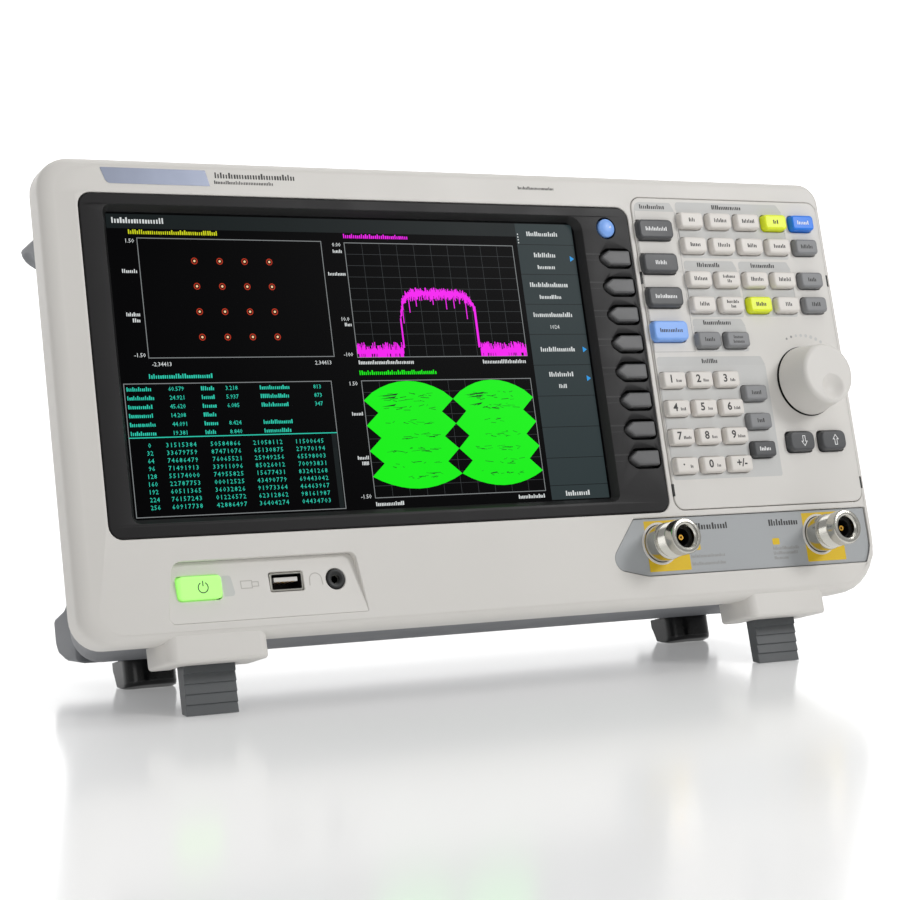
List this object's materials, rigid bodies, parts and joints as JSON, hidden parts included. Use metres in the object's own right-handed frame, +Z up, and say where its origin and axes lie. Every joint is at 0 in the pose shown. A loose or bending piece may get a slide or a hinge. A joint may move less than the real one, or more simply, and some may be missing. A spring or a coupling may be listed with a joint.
{
  "type": "spectrum analyzer",
  "caption": "Bench RF spectrum analyzer with a wide display, a keypad, a tuning knob and threaded RF sockets, leaning back on fold-down tilt legs, with a carry handle.",
  "frame": {"origin": "on the floor under the middle of the leaning case's bounding box", "axes": "+X to the right seen from the front, +Y to the back, +Z up; the front faces -Y and the case leans back 14.8 degrees"},
  "size_m": [0.393, 0.1764, 0.2208],
  "materials": {
    "off_white_plastic": "fine satin texture",
    "pale_key_plastic": "satin",
    "shell_grey_plastic": "fine texture",
    "band_grey_plastic": "satin",
    "dark_frame_plastic": "satin",
    "dark_key_plastic": "satin",
    "mid_key_plastic": "satin",
    "blue_key_plastic": "satin",
    "lit_key_plastic": "translucent, lit from behind",
    "screen_glass": "anti-glare cover glass over a lit panel",
    "leg_grey_plastic": "satin",
    "foot_rubber": "glossy",
    "black_plastic": "satin",
    "nickel_plated_metal": "polished nickel",
    "sheet_steel": "zinc plated",
    "circuit_board": "solder resist"
  },
  "bodies": {
    "case": {"front_bezel": "off_white_plastic", "rear_cover": "shell_grey_plastic", "display_frame": "dark_frame_plastic", "control_panel": "off_white_plastic", "socket_band": "band_grey_plastic", "display_module": "screen_glass", "function_key_mat": "pale_key_plastic", "rotary_encoder": "nickel_plated_metal", "rf_output_socket": "nickel_plated_metal", "rf_input_socket": "nickel_plated_metal", "usb_port": "nickel_plated_metal", "headphone_jack": "black_plastic", "leg_housing_left": "off_white_plastic", "rear_foot_left": "foot_rubber", "leg_housing_right": "off_white_plastic", "rear_foot_right": "foot_rubber", "ac_inlet": "black_plastic", "rear_socket_plate": "nickel_plated_metal", "chassis": "sheet_steel", "main_board": "circuit_board", "keypad_board": "circuit_board", "rf_module": "sheet_steel", "power_supply": "sheet_steel", "fan_frame": "black_plastic"},
    "carry_handle": {"carry_handle": "shell_grey_plastic"},
    "tilt_leg_left": {"tilt_leg_left": "leg_grey_plastic"},
    "tilt_leg_right": {"tilt_leg_right": "leg_grey_plastic"},
    "tuning_knob": {"tuning_knob": "off_white_plastic"},
    "fan_rotor": {"fan_rotor": "black_plastic"},
    "power_key": {"power_key": "lit_key_plastic"},
    "round_key": {"round_key": "blue_key_plastic"},
    "frequency_key": {"frequency_key": "dark_key_plastic"},
    "span_key": {"span_key": "dark_key_plastic"},
    "amplitude_key": {"amplitude_key": "dark_key_plastic"},
    "auto_tune_key": {"auto_tune_key": "blue_key_plastic"},
    "back_key": {"back_key": "mid_key_plastic"},
    "escape_key": {"escape_key": "mid_key_plastic"},
    "enter_key": {"enter_key": "dark_key_plastic"},
    "down_arrow_key": {"down_arrow_key": "dark_key_plastic"},
    "up_arrow_key": {"up_arrow_key": "dark_key_plastic"},
    "soft_key_1": {"soft_key_1": "dark_key_plastic"},
    "soft_key_2": {"soft_key_2": "dark_key_plastic"},
    "soft_key_3": {"soft_key_3": "dark_key_plastic"},
    "soft_key_4": {"soft_key_4": "dark_key_plastic"},
    "soft_key_5": {"soft_key_5": "dark_key_plastic"},
    "soft_key_6": {"soft_key_6": "dark_key_plastic"},
    "soft_key_7": {"soft_key_7": "dark_key_plastic"},
    "soft_key_8": {"soft_key_8": "dark_key_plastic"},
    "number_key_1": {"number_key_1": "pale_key_plastic"},
    "number_key_2": {"number_key_2": "pale_key_plastic"},
    "number_key_3": {"number_key_3": "pale_key_plastic"},
    "number_key_4": {"number_key_4": "pale_key_plastic"},
    "number_key_5": {"number_key_5": "pale_key_plastic"},
    "number_key_6": {"number_key_6": "pale_key_plastic"},
    "number_key_7": {"number_key_7": "pale_key_plastic"},
    "number_key_8": {"number_key_8": "pale_key_plastic"},
    "number_key_9": {"number_key_9": "pale_key_plastic"},
    "number_key_point": {"number_key_point": "pale_key_plastic"},
    "number_key_0": {"number_key_0": "pale_key_plastic"},
    "number_key_sign": {"number_key_sign": "pale_key_plastic"}
  },
  "joints": [
    {"name": "carry_handle_lift", "type": "hinge", "parent": "case", "child": "carry_handle", "pos_m": [0, 0.00946, 0.20549], "axis": [1, 0, 0], "range_deg": [0, 100]},
    {"name": "tilt_leg_left_fold", "type": "hinge", "parent": "case", "child": "tilt_leg_left", "pos_m": [-0.14, -0.05873, 0.02176], "axis": [1, 0, 0], "range_deg": [0, 92]},
    {"name": "tilt_leg_right_fold", "type": "hinge", "parent": "case", "child": "tilt_leg_right", "pos_m": [0.14, -0.05873, 0.02176], "axis": [1, 0, 0], "range_deg": [0, 92]},
    {"name": "tuning_knob_turn", "type": "hinge", "parent": "case", "child": "tuning_knob", "pos_m": [0.1698, -0.05819, 0.1295], "axis": [0, -0.9668, 0.2554], "continuous": true},
    {"name": "fan_rotor_spin", "type": "hinge", "parent": "case", "child": "fan_rotor", "pos_m": [-0.045, 0.02981, 0.10242], "axis": [0, 0.9668, -0.2554], "continuous": true},
    {"name": "power_key_press", "type": "slide", "parent": "case", "child": "power_key", "axis": [0, 0.9668, -0.2554], "range_m": [0, 0.0012], "stiffness_N_per_m": 800, "springref_m": -0.0006},
    {"name": "round_key_press", "type": "slide", "parent": "case", "child": "round_key", "axis": [0, 0.9668, -0.2554], "range_m": [0, 0.0012], "stiffness_N_per_m": 800, "springref_m": -0.0006},
    {"name": "frequency_key_press", "type": "slide", "parent": "case", "child": "frequency_key", "axis": [0, 0.9668, -0.2554], "range_m": [0, 0.0012], "stiffness_N_per_m": 800, "springref_m": -0.0006},
    {"name": "span_key_press", "type": "slide", "parent": "case", "child": "span_key", "axis": [0, 0.9668, -0.2554], "range_m": [0, 0.0012], "stiffness_N_per_m": 800, "springref_m": -0.0006},
    {"name": "amplitude_key_press", "type": "slide", "parent": "case", "child": "amplitude_key", "axis": [0, 0.9668, -0.2554], "range_m": [0, 0.0012], "stiffness_N_per_m": 800, "springref_m": -0.0006},
    {"name": "auto_tune_key_press", "type": "slide", "parent": "case", "child": "auto_tune_key", "axis": [0, 0.9668, -0.2554], "range_m": [0, 0.0012], "stiffness_N_per_m": 800, "springref_m": -0.0006},
    {"name": "back_key_press", "type": "slide", "parent": "case", "child": "back_key", "axis": [0, 0.9668, -0.2554], "range_m": [0, 0.0012], "stiffness_N_per_m": 800, "springref_m": -0.0006},
    {"name": "escape_key_press", "type": "slide", "parent": "case", "child": "escape_key", "axis": [0, 0.9668, -0.2554], "range_m": [0, 0.0012], "stiffness_N_per_m": 800, "springref_m": -0.0006},
    {"name": "enter_key_press", "type": "slide", "parent": "case", "child": "enter_key", "axis": [0, 0.9668, -0.2554], "range_m": [0, 0.0012], "stiffness_N_per_m": 800, "springref_m": -0.0006},
    {"name": "down_arrow_key_press", "type": "slide", "parent": "case", "child": "down_arrow_key", "axis": [0, 0.9668, -0.2554], "range_m": [0, 0.0012], "stiffness_N_per_m": 800, "springref_m": -0.0006},
    {"name": "up_arrow_key_press", "type": "slide", "parent": "case", "child": "up_arrow_key", "axis": [0, 0.9668, -0.2554], "range_m": [0, 0.0012], "stiffness_N_per_m": 800, "springref_m": -0.0006},
    {"name": "soft_key_1_press", "type": "slide", "parent": "case", "child": "soft_key_1", "axis": [0, 0.9668, -0.2554], "range_m": [0, 0.0012], "stiffness_N_per_m": 800, "springref_m": -0.0006},
    {"name": "soft_key_2_press", "type": "slide", "parent": "case", "child": "soft_key_2", "axis": [0, 0.9668, -0.2554], "range_m": [0, 0.0012], "stiffness_N_per_m": 800, "springref_m": -0.0006},
    {"name": "soft_key_3_press", "type": "slide", "parent": "case", "child": "soft_key_3", "axis": [0, 0.9668, -0.2554], "range_m": [0, 0.0012], "stiffness_N_per_m": 800, "springref_m": -0.0006},
    {"name": "soft_key_4_press", "type": "slide", "parent": "case", "child": "soft_key_4", "axis": [0, 0.9668, -0.2554], "range_m": [0, 0.0012], "stiffness_N_per_m": 800, "springref_m": -0.0006},
    {"name": "soft_key_5_press", "type": "slide", "parent": "case", "child": "soft_key_5", "axis": [0, 0.9668, -0.2554], "range_m": [0, 0.0012], "stiffness_N_per_m": 800, "springref_m": -0.0006},
    {"name": "soft_key_6_press", "type": "slide", "parent": "case", "child": "soft_key_6", "axis": [0, 0.9668, -0.2554], "range_m": [0, 0.0012], "stiffness_N_per_m": 800, "springref_m": -0.0006},
    {"name": "soft_key_7_press", "type": "slide", "parent": "case", "child": "soft_key_7", "axis": [0, 0.9668, -0.2554], "range_m": [0, 0.0012], "stiffness_N_per_m": 800, "springref_m": -0.0006},
    {"name": "soft_key_8_press", "type": "slide", "parent": "case", "child": "soft_key_8", "axis": [0, 0.9668, -0.2554], "range_m": [0, 0.0012], "stiffness_N_per_m": 800, "springref_m": -0.0006},
    {"name": "number_key_1_press", "type": "slide", "parent": "case", "child": "number_key_1", "axis": [0, 0.9668, -0.2554], "range_m": [0, 0.0012], "stiffness_N_per_m": 800, "springref_m": -0.0006},
    {"name": "number_key_2_press", "type": "slide", "parent": "case", "child": "number_key_2", "axis": [0, 0.9668, -0.2554], "range_m": [0, 0.0012], "stiffness_N_per_m": 800, "springref_m": -0.0006},
    {"name": "number_key_3_press", "type": "slide", "parent": "case", "child": "number_key_3", "axis": [0, 0.9668, -0.2554], "range_m": [0, 0.0012], "stiffness_N_per_m": 800, "springref_m": -0.0006},
    {"name": "number_key_4_press", "type": "slide", "parent": "case", "child": "number_key_4", "axis": [0, 0.9668, -0.2554], "range_m": [0, 0.0012], "stiffness_N_per_m": 800, "springref_m": -0.0006},
    {"name": "number_key_5_press", "type": "slide", "parent": "case", "child": "number_key_5", "axis": [0, 0.9668, -0.2554], "range_m": [0, 0.0012], "stiffness_N_per_m": 800, "springref_m": -0.0006},
    {"name": "number_key_6_press", "type": "slide", "parent": "case", "child": "number_key_6", "axis": [0, 0.9668, -0.2554], "range_m": [0, 0.0012], "stiffness_N_per_m": 800, "springref_m": -0.0006},
    {"name": "number_key_7_press", "type": "slide", "parent": "case", "child": "number_key_7", "axis": [0, 0.9668, -0.2554], "range_m": [0, 0.0012], "stiffness_N_per_m": 800, "springref_m": -0.0006},
    {"name": "number_key_8_press", "type": "slide", "parent": "case", "child": "number_key_8", "axis": [0, 0.9668, -0.2554], "range_m": [0, 0.0012], "stiffness_N_per_m": 800, "springref_m": -0.0006},
    {"name": "number_key_9_press", "type": "slide", "parent": "case", "child": "number_key_9", "axis": [0, 0.9668, -0.2554], "range_m": [0, 0.0012], "stiffness_N_per_m": 800, "springref_m": -0.0006},
    {"name": "number_key_point_press", "type": "slide", "parent": "case", "child": "number_key_point", "axis": [0, 0.9668, -0.2554], "range_m": [0, 0.0012], "stiffness_N_per_m": 800, "springref_m": -0.0006},
    {"name": "number_key_0_press", "type": "slide", "parent": "case", "child": "number_key_0", "axis": [0, 0.9668, -0.2554], "range_m": [0, 0.0012], "stiffness_N_per_m": 800, "springref_m": -0.0006},
    {"name": "number_key_sign_press", "type": "slide", "parent": "case", "child": "number_key_sign", "axis": [0, 0.9668, -0.2554], "range_m": [0, 0.0012], "stiffness_N_per_m": 800, "springref_m": -0.0006}
  ]
}
